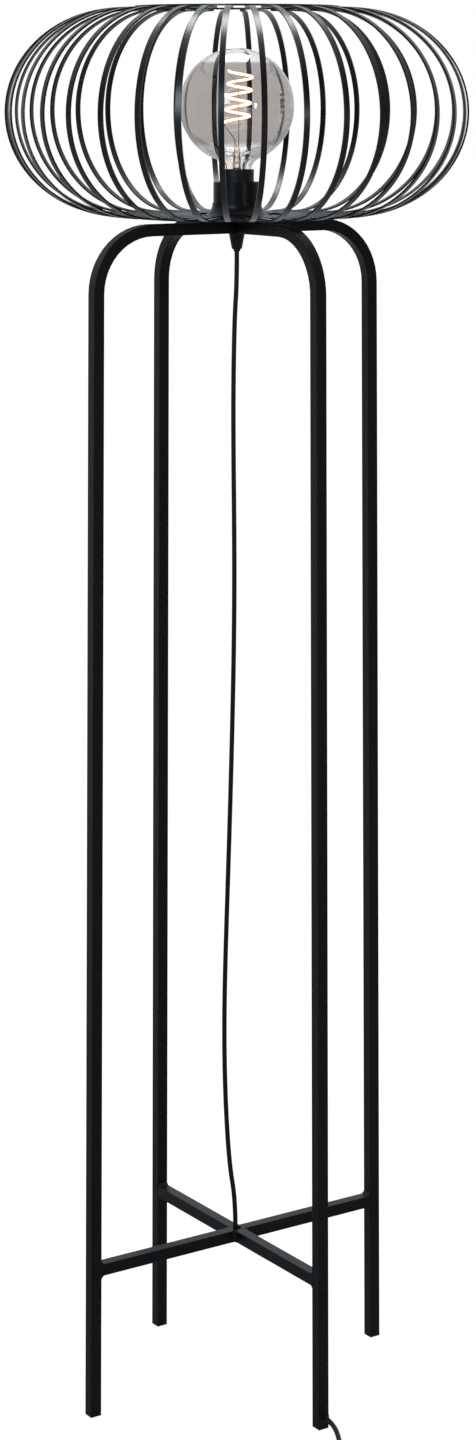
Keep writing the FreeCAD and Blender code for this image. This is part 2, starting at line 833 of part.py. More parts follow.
def hanging_route():
    """From the gland's tip to the hole in the lower cross, as it hangs: a slow wave, pulled aside low down."""
    low_end = cross_top - tube_wall
    drop = gland_tip - low_end
    view_side = Vector(0.833, -0.553, 0)
    view_depth = Vector(0.553, 0.833, 0)
    runs = 15
    points = [Vector(0, 0, gland_tip), Vector(0, 0, gland_tip - 0.48 * drop / runs)]
    for k in range(1, runs):
        t = k / runs
        sway = t * cord_in_hole_x + sum(a * math.sin(math.pi * (n + 1) * t) for n, a in enumerate(cord_sway))
        depth = cord_depth_sway * math.sin(3 * math.pi * t)
        points.append(view_side * sway + view_depth * depth + Vector(0, 0, gland_tip - t * drop))
    points.append(Vector(cord_in_hole_x, 0, low_end + 0.45 * drop / runs))
    points.append(Vector(cord_in_hole_x, 0, low_end))
    return points


def inner_route():
    """Inside the lower cross and the front leg, from the top hole to the bushing."""
    return [Vector(cord_in_hole_x, 0, cross_top - tube_wall), Vector(cord_in_hole_x, 0, cross_axis),
            Vector(0, -reach_at(short_reach, cross_axis), cross_axis),
            Vector(0, -reach_at(short_reach, exit_height), exit_height), Vector(0, -lead_exit, exit_height)]


def floor_route():
    """From the bushing down to the floor and along it to the switch, which lies a little to one side."""
    start = -lead_exit
    aside = switch_x / 10
    return [Vector(0, start, exit_height), Vector(0, start - 16, exit_height),
            Vector(aside * 3, start - 40.7, 5.2), Vector(aside * 9, switch_rear_y + 21, 5.6),
            Vector(switch_x, switch_rear_y + lead_stop, switch_split)]


def coil_place(u):
    """Point of the coil after u turns: in on the lower layer, out on the upper one, clockwise from above."""
    angle = -math.pi / 2 - 2 * math.pi * u
    inner = coil_outer_radius - coil_pitch * coil_turns_in
    past = u - coil_turns_in
    if past <= 0:
        radius = coil_outer_radius - coil_pitch * u
        height = coil_low
    elif past < 0.5:
        radius = inner - coil_pitch * (0.25 - abs(past - 0.25))
        height = coil_low + coil_pitch * (1 - math.cos(2 * math.pi * past)) / 2
    else:
        radius = inner + coil_pitch * (past - 0.5)
        height = coil_high
    return Vector(coil_x + radius * math.cos(angle), coil_y + radius * math.sin(angle), height)


coil_turns = coil_turns_in + 0.5 + coil_turns_out
coil, coil_line = wound_tube(coil_place, coil_turns, cord_radius, cord_width, cord_width)
print("coil length", round(coil_line.Length, 1), "volume share",
      round(coil.Volume / (math.pi * cord_radius ** 2 * coil_line.Length), 4),
      "least gap", round(least_gap(coil_place, coil_turns, cord_width), 2))
coil_start_way = (coil_place(0.001) - coil_place(0.0)).normalize()
coil_end_way = (coil_place(coil_turns) - coil_place(coil_turns - 0.001)).normalize()
coil_start = coil_place(0.0) - coil_start_way * cord_width
coil_end = coil_place(coil_turns) + coil_end_way * cord_width
plug_x = coil_end.x - 1.0


def switch_to_coil_route():
    """From the switch's front, round to the coil's outer turn."""
    last_bend = coil_start - coil_start_way * 28
    return [Vector(switch_x, switch_front_y - lead_stop, switch_split), Vector(switch_x, switch_front_y - 26, 6.5),
            Vector(switch_x - 9.3, coil_start.y + 24.6, 4.3), Vector(last_bend.x + 21, coil_start.y + 11.4, coil_low),
            last_bend, coil_start]


def coil_to_plug_route():
    """From the coil's outer turn, down and into the plug's rear."""
    return [coil_end, coil_end + coil_end_way * 12, Vector(plug_x, plug_rear_y - 13, plug_middle),
            Vector(plug_x, plug_rear_y, plug_middle)]


def exit_bushing():
    """Round bushing of the hole by the foot: outer flange, throat and inner lip."""
    bore = cord_radius + cord_clearance
    outside = reach_at(short_reach, exit_height) + tube / 2 + 2 * weld_gap
    inside = outside - tube_wall
    bush = turned([(bore, outside + bushing_flange), (bushing_flange_radius, outside + bushing_flange),
                   (bushing_flange_radius, outside), (bushing_radius, outside), (bushing_radius, inside - 0.8),
                   (bore, inside - 0.8)])
    bush.rotate(ORIGIN, Vector(1, 0, 0), 90)
    bush.translate(Vector(0, 0, exit_height))
    return bush


def coil_tie():
    """Flat strap round the coil at its far side from the switch lead."""
    half = tie_width / 2
    innermost = coil_outer_radius - coil_pitch * coil_turns_in - cord_radius
    inner = math.sqrt(innermost ** 2 - half ** 2) - tie_clearance
    outer = coil_outer_radius + cord_radius + tie_clearance
    low = coil_low - cord_radius - tie_clearance
    high = coil_high + cord_radius + tie_clearance
    x0, x1 = coil_x - half, coil_x + half
    strap = block(x0, x1, coil_y + inner - tie_thickness, coil_y + outer + tie_thickness,
                  low - tie_thickness, high + tie_thickness)
    along = [edge for edge in strap.Edges if edge.BoundBox.XLength > half]
    strap = strap.makeFillet(tie_thickness * 1.5, along)
    return strap.cut(block(x0 - 1, x1 + 1, coil_y + inner, coil_y + outer, low, high))


save("lead_in_nipple", rod(cord_radius, gland_tip, nipple_top))
save("hanging_lead", cord_tube("hanging lead", hanging_route()))
save("lead_in_frame", cord_tube("lead in frame", inner_route(), [inner_bend] * 3))
save("floor_lead", cord_tube("floor lead", floor_route()))
save("switch_to_coil_lead", cord_tube("switch to coil", switch_to_coil_route()))
save("lead_coil", coil)
save("coil_to_plug_lead", cord_tube("coil to plug", coil_to_plug_route()))
save("exit_bushing", exit_bushing())
save("coil_tie", coil_tie())


# ---------------------------------------------------------------- foot switch
def switch_outline(inset, z0, z1):
    """Rounded rectangle of the switch, drawn in by an inset."""
    half_x = switch_width / 2 - inset
    body = block(-half_x, half_x, switch_front_y + inset, switch_rear_y - inset, z0, z1)
    uprights = [edge for edge in body.Edges if edge.BoundBox.ZLength > (z1 - z0) * 0.9]
    return body.makeFillet(switch_corner - inset, uprights)


def switch_screw_places():
    return [(switch_screw_x, switch_middle_y + switch_screw_y), (-switch_screw_x, switch_middle_y - switch_screw_y)]


def switch_tray():
    tray = switch_outline(0, 0, switch_split).cut(switch_outline(switch_wall, switch_wall, switch_split + 1))
    pillars = [rod(switch_pillar_radius, switch_wall / 2, switch_split, x, y) for x, y in switch_screw_places()]
    holes = [rod(switch_screw_radius + switch_fit, -1, switch_split + 1, x, y) for x, y in switch_screw_places()]
    sinks = [rod(switch_pillar_radius - 0.5, -1, switch_wall, x, y) for x, y in switch_screw_places()]
    return tray.fuse(pillars).removeSplitter().cut(holes + sinks)


def switch_cover():
    shell = switch_outline(0, switch_split, switch_height)
    rim = [edge for edge in shell.Edges if edge.BoundBox.ZMin > switch_height - 0.01]
    shell = shell.makeFillet(switch_top_round, rim)
    cavity = switch_outline(switch_wall, switch_split - 1, switch_height - switch_wall)
    rim = [edge for edge in cavity.Edges if edge.BoundBox.ZMin > switch_height - switch_wall - 0.01]
    cavity = cavity.makeFillet(switch_top_round - switch_wall, rim)
    shell = shell.cut(cavity)
    opening = rod(button_radius + button_gap, switch_split, switch_height + 1, 0, switch_middle_y)
    pillars = [rod(switch_pillar_radius, switch_split, switch_height - switch_wall / 2, x, y)
               for x, y in switch_screw_places()]
    pilots = [rod(switch_screw_radius, switch_split - 1, switch_split + switch_screw_bite, x, y)
              for x, y in switch_screw_places()]
    return shell.fuse(pillars).removeSplitter().cut([opening] + pilots)


def switch_button():
    """Round push button, held under the cover by its rim, hollow for the spring."""
    top = switch_height + button_proud
    under = switch_height - switch_wall - switch_fit
    body = rod(button_radius, under - button_skirt, top, 0, switch_middle_y)
    edge = [e for e in body.Edges if e.BoundBox.ZMin > top - 0.01]
    body = body.makeFillet(button_proud / 2, edge)
    rim = rod(button_radius + button_rim, under - button_rim, under, 0, switch_middle_y)
    pocket = rod(spring_radius + 2 * spring_wire + 0.5, under - button_skirt - 1, top - button_roof, 0, switch_middle_y)
    return body.fuse(rim).removeSplitter().cut(pocket)


def spring_place(u):
    low = switch_wall + contact_block_height + spring_wire
    high = switch_height + button_proud - button_roof - spring_wire
    angle = 2 * math.pi * u
    return Vector(spring_radius * math.cos(angle), switch_middle_y + spring_radius * math.sin(angle),
                  low + (high - low) * u / spring_turns)


def contact_block():
    half_x = contact_block_width / 2
    half_y = contact_block_length / 2
    return block(-half_x, half_x, switch_middle_y - half_y, switch_middle_y + half_y,
                 switch_wall, switch_wall + contact_block_height)


def switch_screw(x, y):
    head = rod(switch_pillar_radius - 0.5 - switch_fit, switch_wall / 2, switch_wall, x, y)
    shank = rod(switch_screw_radius, switch_wall / 2, switch_split + switch_screw_bite, x, y)
    return head.fuse(shank).removeSplitter()


def at_switch(shape):
    """Carries a piece made on the middle plane to the switch's place beside it."""
    shape.translate(Vector(switch_x, 0, 0))
    return shape


spring, spring_line = wound_tube(spring_place, spring_turns, spring_wire)
save("switch_tray", at_switch(switch_tray()))
save("switch_cover", at_switch(switch_cover()))
save("switch_button", at_switch(switch_button()))
save("switch_spring", at_switch(spring))
save("switch_contact_block", at_switch(contact_block()))
save("switch_screws", *[at_switch(switch_screw(x, y)) for x, y in switch_screw_places()])


# ---------------------------------------------------------------- plug
def plug_body():
    """Flat two-pin plug: full width at the pins, narrowing to the lead."""
    front = plug_rear_y + plug_body_length
    shoulder = front - plug_shoulder
    wide = plug_body_width / 2
    narrow = plug_rear_width / 2
    corners = [Vector(-wide, front, 0), Vector(wide, front, 0), Vector(wide, shoulder, 0),
               Vector(narrow, plug_rear_y, 0), Vector(-narrow, plug_rear_y, 0), Vector(-wide, shoulder, 0)]
    body = Part.Face(Part.makePolygon(corners + corners[:1])).extrude(Vector(0, 0, plug_thickness))
    uprights = [edge for edge in body.Edges if edge.BoundBox.ZLength > plug_thickness * 0.9]
    body = body.makeFillet(plug_edge, uprights)
    rims = [edge for edge in body.Edges if edge.BoundBox.ZLength < 0.01]
    body = body.makeFillet(plug_edge * 0.6, rims)
    body.translate(Vector(plug_x, 0, 0))
    return body


def plug_pin(side):
    """Round pin with a rounded end, seated on the plug's face."""
    front = plug_rear_y + plug_body_length
    pin = Part.makeCylinder(pin_radius, pin_length, Vector(plug_x + side * pin_spacing / 2, front, plug_middle),
                            Vector(0, 1, 0))
    tip = [edge for edge in pin.Edges if edge.BoundBox.YMin > front + pin_length - 0.01]
    return pin.makeFillet(pin_radius * 0.6, tip)


save("plug_body", plug_body())
save("plug_pins", plug_pin(-1), plug_pin(1))
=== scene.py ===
import math

import bmesh
import bpy
from mathutils import Matrix, Vector


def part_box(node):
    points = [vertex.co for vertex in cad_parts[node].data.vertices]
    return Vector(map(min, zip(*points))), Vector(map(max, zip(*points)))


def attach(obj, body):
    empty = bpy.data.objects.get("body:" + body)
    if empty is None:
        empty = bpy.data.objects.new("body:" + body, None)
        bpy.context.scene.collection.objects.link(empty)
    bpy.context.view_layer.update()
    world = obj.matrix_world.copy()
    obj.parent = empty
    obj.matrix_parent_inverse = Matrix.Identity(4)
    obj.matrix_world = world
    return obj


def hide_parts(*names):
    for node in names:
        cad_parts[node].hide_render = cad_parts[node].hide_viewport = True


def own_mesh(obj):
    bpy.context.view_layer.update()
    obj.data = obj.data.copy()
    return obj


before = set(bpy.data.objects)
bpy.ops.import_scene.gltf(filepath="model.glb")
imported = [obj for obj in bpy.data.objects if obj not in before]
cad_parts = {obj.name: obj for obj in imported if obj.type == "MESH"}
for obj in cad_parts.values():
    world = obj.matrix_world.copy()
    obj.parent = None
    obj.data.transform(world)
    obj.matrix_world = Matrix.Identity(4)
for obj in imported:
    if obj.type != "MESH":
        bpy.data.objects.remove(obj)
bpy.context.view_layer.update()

bl_info = {
    "name": "Wire Cage Floor Lamp",
    "version": (1, 0, 0),
    "blender": (4, 5, 0),
    "location": "View3D > Sidebar > Cage Lamp",
    "description": "Dresses a floor lamp with a bulging cage of flat strips and a smoked globe bulb",
    "category": "Object",
}

MM = 0.001

# ---------------------------------------------------------------- places read from the frame
GLAND_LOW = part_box("cord_gland")[0]
CROSS_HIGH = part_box("long_stretcher")[1]
BUSHING_LOW, BUSHING_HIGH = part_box("exit_bushing")
SWITCH_LOW, SWITCH_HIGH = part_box("switch_tray")
SWITCH_X = (SWITCH_LOW.x + SWITCH_HIGH.x) / 2
PLUG_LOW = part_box("plug_body")[0]
STEM_LOW, STEM_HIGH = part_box("bulb_stem")

# ---------------------------------------------------------------- heights and distances, in metres
SWITCH_LEAD_Z = 9 * MM
PLUG_LEAD_Z = 6.85 * MM
# The globe's smoky coating lies between these two heights.
COATED_FROM, COATED_TO = 1.3515, 1.4422
# Points of a mesh that are nearer than this are joined.
SEAM = 1e-6

# ---------------------------------------------------------------- the coil of lead, in mm and in turns
COIL_X, COIL_Y = -112, -347
COIL_RADIUS = 37.5
COIL_PITCH = 5.7
COIL_LOW = 3.6
COIL_TURNS = 8.25
INWARD_TURNS = 3.5
CLIMB_TURNS = 0.5

# ---------------------------------------------------------------- directions from the camera, and the stage
# AWAY and ACROSS are level, DOWN_THE_VIEW is where the camera looks, UP_BEHIND is the wall behind the lamp.
AWAY = (0.556, 0.831, 0.0)
ACROSS = (0.831, -0.556, 0.0)
DOWN_THE_VIEW = (0.555, 0.830, -0.048)
UP_BEHIND = (0.455, 0.680, 0.574)
FLOOR_RADIUS = 30.0
FLOOR_DROP = 0.0002
# The softboxes look at this point of the lamp's axis.
SOFTBOX_AIM = (0, 0, 1.0)
# Each softbox: its place, its width and height, its colour.
LEFT_SOFTBOX = ((-2.31, -1.57, 2.10), (0.95, 1.05), (0.80, 0.90, 1.0))
RIGHT_SOFTBOX = ((0.22, -2.99, 1.42), (0.36, 0.5), (1.0, 0.97, 0.93))
TOP_SOFTBOX = ((0.47, 0.71, 3.30), (1.0, 1.0), (0.96, 0.98, 1.0))

# ---------------------------------------------------------------- colours of the stage and of the small parts
BLACK = (0.0, 0.0, 0.0, 1.0)
WHITE = (1.0, 1.0, 1.0, 1.0)
COOL_WHITE = (0.88, 0.95, 1.0, 1.0)
ROOM_WHITE = (0.96, 0.98, 1.0)
# Grey the coat is mixed towards where it faces up: dust, and painted light from above.
DUST_AND_TOP_LIGHT_GREY = (0.20, 0.20, 0.21, 1.0)
# Clear glass of the neck, tinted with painted warm glow of the filament.
NECK_GLASS_WITH_PAINTED_GLOW = (0.945, 0.918, 0.900, 1.0)
COOL_CLEAR = (0.99, 0.995, 0.995, 1.0)
ZINC = (0.55, 0.55, 0.57)
BLACKENED_STEEL = (0.06, 0.06, 0.065)
BRASS = (0.75, 0.60, 0.34)
COPPER = (0.90, 0.52, 0.34)
NICKEL = (0.68, 0.66, 0.60)
CAP_METAL = (0.78, 0.78, 0.80)
SUPPORT_METAL = (0.45, 0.40, 0.34)
CERAMIC = (0.82, 0.81, 0.78)
JET = (0.02, 0.02, 0.022)
GREY_PLASTIC = (0.25, 0.25, 0.26)


# ---------------------------------------------------------------- what a user would change
class LampStageSettings(bpy.types.PropertyGroup):
    camera_distance: bpy.props.FloatProperty(
        name="Camera distance", description="From the lamp's axis to the camera", default=3.27, unit="LENGTH")
    camera_height: bpy.props.FloatProperty(
        name="Camera height", description="Height of the camera over the floor", default=1.433, unit="LENGTH")
    camera_azimuth: bpy.props.FloatProperty(
        name="Camera azimuth", description="Where the camera stands round the lamp",
        default=math.radians(-33.8), subtype="ANGLE")
    camera_tilt: bpy.props.FloatProperty(
        name="Camera tilt", description="How far the camera looks down",
        default=math.radians(2.75), subtype="ANGLE")
    lens_length: bpy.props.FloatProperty(
        name="Lens", description="Focal length for the tall frame of the photograph", default=75.765)
    frame_shift: bpy.props.FloatVectorProperty(
        name="Lens shift", description="Sideways and upward shift of the lens", size=2,
        default=(0.0008, -0.3507))
    left_softbox: bpy.props.FloatProperty(
        name="Left softbox", description="Power of the softbox at the left", default=30.0, unit="POWER")
    right_softbox: bpy.props.FloatProperty(
        name="Right softbox", description="Power of the softbox at the right", default=6.0, unit="POWER")
    top_softbox: bpy.props.FloatProperty(
        name="Top softbox", description="Power of the softbox over the lamp", default=26.0, unit="POWER")
    room_light: bpy.props.FloatProperty(
        name="Room light", description="Level of the even light from all round", default=0.35)


class LampCordSettings(bpy.types.PropertyGroup):
    lead_width: bpy.props.FloatProperty(
        name="Lead width", description="Diameter of the black lead", default=0.0052, unit="LENGTH")
    relief_length: bpy.props.FloatProperty(
        name="Strain relief", description="Length of the tapered sleeve at a housing",
        default=0.022, unit="LENGTH")


class LampFinishSettings(bpy.types.PropertyGroup):
    powder_colour: bpy.props.FloatVectorProperty(
        name="Powder coat", description="Colour of the coated steel", subtype="COLOR", size=3,
        default=(0.0042, 0.0047, 0.0060))
    plastic_colour: bpy.props.FloatVectorProperty(
        name="Black plastic", description="Colour of holder, gland, switch and plug", subtype="COLOR", size=3,
        default=(0.0045, 0.0050, 0.0060))
    lead_colour: bpy.props.FloatVectorProperty(
        name="Lead", description="Colour of the lead's sheath", subtype="COLOR", size=3,
        default=(0.0050, 0.0050, 0.0054))
    smoke_colour: bpy.props.FloatVectorProperty(
        name="Smoked glass", description="Tint of the globe's coating", subtype="COLOR", size=3,
        default=(0.655, 0.632, 0.618))
    glow_colour: bpy.props.FloatVectorProperty(
        name="Filament glow", description="Colour of the glowing filament", subtype="COLOR", size=3,
        default=(1.0, 0.75, 0.50))
    glow_strength: bpy.props.FloatProperty(
        name="Glow strength", description="How strongly the filament glows", default=5.5)


# ---------------------------------------------------------------- shader maths
class Socket:
    """One value inside a material; shader maths on it is written as an expression."""

    def __init__(self, tree, socket):
        self.tree = tree
        self.socket = socket

    def maths(self, operation, *values):
        return self.tree.node("ShaderNodeMath", {"operation": operation}, values)[0]

    def __add__(self, other):
        return self.maths("ADD", self, other)

    def __radd__(self, other):
        return self.maths("ADD", other, self)

    def __sub__(self, other):
        return self.maths("SUBTRACT", self, other)

    def __rsub__(self, other):
        return self.maths("SUBTRACT", other, self)

    def __mul__(self, other):
        return self.maths("MULTIPLY", self, other)

    def __rmul__(self, other):
        return self.maths("MULTIPLY", other, self)

    def __truediv__(self, other):
        return self.maths("DIVIDE", self, other)

    def __rtruediv__(self, other):
        return self.maths("DIVIDE", other, self)


class Tree:
    """The node tree of a material or of the world."""

    def __init__(self, owner):
        owner.use_nodes = True
        self.tree = owner.node_tree
        self.tree.nodes.clear()

    def node(self, kind, settings=None, values=()):
        """A node with its settings, then the values or links of its sockets, by place or by name."""
        made = self.tree.nodes.new(kind)
        for name, value in (settings or {}).items():
            setattr(made, name, value)
        pairs = values.items() if isinstance(values, dict) else enumerate(values)
        for key, value in pairs:
            if isinstance(value, Socket):
                self.tree.links.new(value.socket, made.inputs[key])
            else:
                made.inputs[key].default_value = value
        return [Socket(self, socket) for socket in made.outputs]

    def place(self):
        """The shaded point in the piece's own metres."""
        return self.node("ShaderNodeTexCoord")[3]

    def rays(self):
        """Three switches: the ray comes from the camera, off a gloss, or through glass."""
        path = self.node("ShaderNodeLightPath")
        return path[0], path[3], path[6]

    def parts(self, vector):
        return self.node("ShaderNodeSeparateXYZ", None, [vector])

    def scaled(self, vector, factors):
        return self.node("ShaderNodeVectorMath", {"operation": "MULTIPLY"}, [vector, factors])[0]

    def dot(self, vector, way):
        return self.node("ShaderNodeVectorMath", {"operation": "DOT_PRODUCT"}, [vector, way])[1]

    def noise(self, vector, scale, detail=2.0, roughness=0.5):
        values = {"Vector": vector, "Scale": scale, "Detail": detail, "Roughness": roughness}
        return self.node("ShaderNodeTexNoise", None, values)[0]

    def cells(self, vector, scale):
        return self.node("ShaderNodeTexVoronoi", None, {"Vector": vector, "Scale": scale})[0]

    def between(self, value, low, high, first=0.0, last=1.0):
        """Goes smoothly from first to last while the value goes from low to high."""
        values = {"Value": value, 1: low, 2: high, 3: first, 4: last}
        return self.node("ShaderNodeMapRange", {"interpolation_type": "SMOOTHSTEP"}, values)[0]

    def mixed(self, factor, first, second):
        return self.node("ShaderNodeMix", {"data_type": "RGBA"}, {0: factor, 6: first, 7: second})[2]

    def bump(self, height, distance, strength=1.0):
        values = {"Strength": strength, "Distance": distance, "Height": height}
        return self.node("ShaderNodeBump", None, values)[0]

    def surface(self, **sockets):
        """The main shader and the output; socket names are given with underscores."""
        values = {name.replace("_", " "): value for name, value in sockets.items()}
        shader = self.node("ShaderNodeBsdfPrincipled", None, values)[0]
        self.output(shader)

    def output(self, shader, kind="ShaderNodeOutputMaterial"):
        self.node(kind, None, [shader])


def tint(colour, factor=1.0):
    """A colour with alpha, made lighter or darker."""
    return [min(1.0, part * factor) for part in colour[:3]] + [1.0]


def new_finish(name):
    """A new material and its empty node tree."""
    material = bpy.data.materials.new(name)
    return material, Tree(material)


# ---------------------------------------------------------------- finishes
def powder_coat(name, colour, grain=900.0, roughness=0.36, dust_and_top_light_level=0.5, gloss=0.2):
    """Satin powder coat: orange peel, a slow drift of tone, and on what faces up a little dust with painted
    top light, lighter and rougher there.
    """
    material, tree = new_finish(name)
    place = tree.place()
    drift = tree.noise(place, 7.0, 3.0)
    peel = tree.noise(place, grain, 2.0)
    fine = tree.noise(place, grain * 3.2, 1.0)
    upward = tree.parts(tree.node("ShaderNodeNewGeometry")[1])[2]
    # Faces turned up get a patchy lighter grey: partly dust, partly painted light from above.
    dust_and_top_light = tree.between(upward, 0.55, 1.0) * tree.between(tree.noise(place, 60.0, 4.0), 0.35, 0.75)
    base = tree.mixed(drift, tint(colour, 0.72), tint(colour, 1.35))
    base = tree.mixed(dust_and_top_light * (0.05 * dust_and_top_light_level), base, DUST_AND_TOP_LIGHT_GREY)
    rough = roughness - 0.05 + 0.1 * drift + 0.06 * peel + 0.12 * dust_and_top_light_level * dust_and_top_light
    tree.surface(Base_Color=base, Roughness=rough, Specular_IOR_Level=gloss,
                 Normal=tree.bump(peel + 0.35 * fine, 0.000012))
    return material


def moulded_plastic(name, colour, roughness=0.42, grain=1400.0):
    """Moulded plastic with a fine spark-eroded grain."""
    material, tree = new_finish(name)
    place = tree.place()
    drift = tree.noise(place, 22.0, 3.0)
    grain_height = tree.cells(place, grain)
    base = tree.mixed(drift, tint(colour, 0.75), tint(colour, 1.3))
    rough = roughness - 0.04 + 0.09 * drift
    tree.surface(Base_Color=base, Roughness=rough, Specular_IOR_Level=0.3,
                 Normal=tree.bump(grain_height, 0.00002))
    return material


def turned_metal(name, colour, roughness=0.28, lines=2600.0):
    """Metal with fine lathe lines across its height and some stain."""
    material, tree = new_finish(name)
    place = tree.place()
    stretched = tree.scaled(place, (40.0, 40.0, lines))
    marks = tree.noise(stretched, 1.0, 2.0)
    stain = tree.noise(place, 90.0, 4.0)
    base = tree.mixed(stain, tint(colour, 0.78), tint(colour, 1.12))
    rough = roughness - 0.08 + 0.12 * marks + 0.1 * stain
    tree.surface(Base_Color=base, Metallic=1.0, Roughness=rough, Normal=tree.bump(marks, 0.00001))
    return material


def glazed_ceramic(name, colour):
    """Glazed white ceramic with soft clouds and a few pits."""
    material, tree = new_finish(name)
    place = tree.place()
    clouds = tree.noise(place, 160.0, 4.0)
    pits = tree.between(tree.cells(place, 900.0), 0.0, 0.12)
    base = tree.mixed(clouds, tint(colour, 0.9), tint(colour, 1.05))
    tree.surface(Base_Color=base, Roughness=0.2 + 0.14 * clouds, Normal=tree.bump(pits, 0.00004))
    return material


def lead_sheath(name, colour):
    """Flexible sheath of the lead: soft sheen, faint scuffs and a slight wave."""
    material, tree = new_finish(name)
    place = tree.place()
    scuffs = tree.between(tree.noise(place, 260.0, 5.0, 0.65), 0.45, 0.72)
    wave = tree.noise(place, 130.0, 2.0)
    base = tree.mixed(scuffs, tint(colour, 0.85), tint(colour, 1.7))
    tree.surface(Base_Color=base, Roughness=0.4 + 0.14 * scuffs, Specular_IOR_Level=0.3,
                 Normal=tree.bump(wave + 0.4 * scuffs, 0.00012))
    return material


def ribbed_strap(name, colour):
    """Rubber strap with fine cross ribs."""
    material, tree = new_finish(name)
    place = tree.place()
    ribs = tree.node("ShaderNodeTexWave", {"bands_direction": "Y"}, {"Vector": place, "Scale": 160.0})[1]
    worn = tree.noise(place, 240.0, 3.0)
    base = tree.mixed(worn, tint(colour, 0.7), tint(colour, 1.5))
    tree.surface(Base_Color=base, Roughness=0.5 + 0.12 * worn, Normal=tree.bump(ribs, 0.00015))
    return material


def smoked_glass(name, smoke, low, high):
    """Blown glass with a smoky coating between two levels, clear at the crown and the neck, with a painted
    warm glow in the neck's glass.
    """
    material, tree = new_finish(name)
    place = tree.place()
    height = tree.parts(place)[2]
    drift = tree.noise(place, 14.0, 3.0)
    level = height + 0.003 * drift
    crown = tree.between(level, high - 0.001, high + 0.002)
    coated = tree.between(level, low - 0.002, low + 0.005) * (1.0 - crown)
    over_neck = tree.between(level, low - 0.004, low + 0.002)
    # Below the coating the clear glass carries a painted warm glow; above it the crown stays clear.
    clear = tree.mixed(over_neck, NECK_GLASS_WITH_PAINTED_GLOW, COOL_CLEAR)
    smoke_now = tree.mixed(drift, tint(smoke, 0.96), tint(smoke, 1.04))
    base = tree.mixed(coated, clear, smoke_now)
    tree.surface(Base_Color=base, Roughness=0.0, IOR=1.45, Transmission_Weight=1.0,
                 Normal=tree.bump(tree.noise(place, 12.0, 1.0), 0.0001, 0.15))
    return material


def clear_glass(name):
    """Drawn glass with faint upright streaks, tinted warm as painted glow of the filament."""
    material, tree = new_finish(name)
    place = tree.place()
    streaks = tree.noise(tree.scaled(place, (160.0, 160.0, 30.0)), 1.0, 2.0)
    # The warm tint is painted glow of the filament.
    base = tree.mixed(streaks, (0.97, 0.91, 0.86, 1.0), (0.98, 0.94, 0.90, 1.0))
    tree.surface(Base_Color=base, Roughness=0.02, IOR=1.5, Transmission_Weight=1.0,
                 Normal=tree.bump(streaks, 0.0004, 0.5))
    return material


def redder(glow, green, blue):
    """A glow with only these shares of its green and blue."""
    return tint((glow[0], glow[1] * green, glow[2] * blue))


def glowing_wire(name, glow, strength):
    """The hot filament: brightest where the wire is hottest, a little redder elsewhere."""
    material, tree = new_finish(name)
    place = tree.place()
    hot = tree.between(tree.noise(place, 55.0, 2.0), 0.3, 0.7)
    colour = tree.mixed(hot, redder(glow, 0.82, 0.68), tint(glow))
    tree.surface(Base_Color=colour, Roughness=0.5, Emission_Color=colour, Emission_Strength=strength)
    return material


def glow_sleeve(name, glow, strength):
    """Thin see-through coat round the wire that carries its orange fringe."""
    material, tree = new_finish(name)
    place = tree.place()
    cloud = tree.noise(place, 120.0, 2.0)
    see_through = tree.node("ShaderNodeBsdfTransparent", None, [WHITE])[0]
    colour = tree.mixed(cloud, redder(glow, 0.55, 0.35), redder(glow, 0.7, 0.5))
    haze = tree.node("ShaderNodeEmission", None, {"Color": colour, "Strength": strength})[0]
    tree.output(tree.node("ShaderNodeMixShader", None, [0.12 + 0.08 * cloud, see_through, haze])[0])
    return material


# ---------------------------------------------------------------- making pieces
def settings():
    """The three groups of values that a user would change."""
    scene = bpy.context.scene
    return scene.lamp_stage, scene.lamp_cords, scene.lamp_finishes


def link(thing):
    """Puts a new thing in the scene and gives it back."""
    bpy.context.scene.collection.objects.link(thing)
    return thing


def piece_from(name, bm, material, body, smooth=True):
    """A finished piece: mesh from a bmesh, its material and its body."""
    bmesh.ops.remove_doubles(bm, verts=bm.verts, dist=SEAM)
    bmesh.ops.recalc_face_normals(bm, faces=bm.faces)
    mesh = bpy.data.meshes.new(name)
    bm.to_mesh(mesh)
    bm.free()
    for polygon in mesh.polygons:
        polygon.use_smooth = smooth
    mesh.materials.append(material)
    thing = link(bpy.data.objects.new(name, mesh))
    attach(thing, body)
    return thing


def spun_profile(bm, profile, steps=40):
    """Turns an open outline of (radius, height) points once round Z."""
    corners = [bm.verts.new((radius, 0.0, height)) for radius, height in profile]
    edges = [bm.edges.new(pair) for pair in zip(corners, corners[1:])]
    bmesh.ops.spin(bm, geom=corners + edges, cent=(0, 0, 0), axis=(0, 0, 1), angle=2 * math.pi,
                   steps=steps, use_merge=True)
    return bm


def aimed(place, way):
    """The placement that carries +Z at the origin to a way at a place."""
    return Matrix.Translation(place) @ Vector(way).to_track_quat("Z", "Y").to_matrix().to_4x4()


def dress(material, *nodes):
    """Gives CAD nodes that stay a better material."""
    for node in nodes:
        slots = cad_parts[node].data.materials
        slots.clear()
        slots.append(material)


def mesh_of(node):
    """A CAD node's mesh where it stands, with its corners joined, as a new bmesh."""
    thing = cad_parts[node]
    bm = bmesh.new()
    bm.from_mesh(thing.data)
    bmesh.ops.transform(bm, matrix=thing.matrix_world, verts=bm.verts)
    bmesh.ops.remove_doubles(bm, verts=bm.verts, dist=SEAM)
    return bm


def solids_of(node):
    """The low and high corners of each separate solid of a CAD node, in a fixed order."""
    bm = mesh_of(node)
    left = set(bm.verts)
    boxes = []
    while left:
        reached = [left.pop()]
        for vert in reached:
            found = {edge.other_vert(vert) for edge in vert.link_edges} & left
            left -= found
            reached.extend(found)
        spans = [sorted(vert.co[axis] for vert in reached) for axis in range(3)]
        boxes.append((Vector([span[0] for span in spans]), Vector([span[-1] for span in spans])))
    bm.free()
    return sorted(boxes, key=lambda box: [round(part, 5) for part in box[0]])


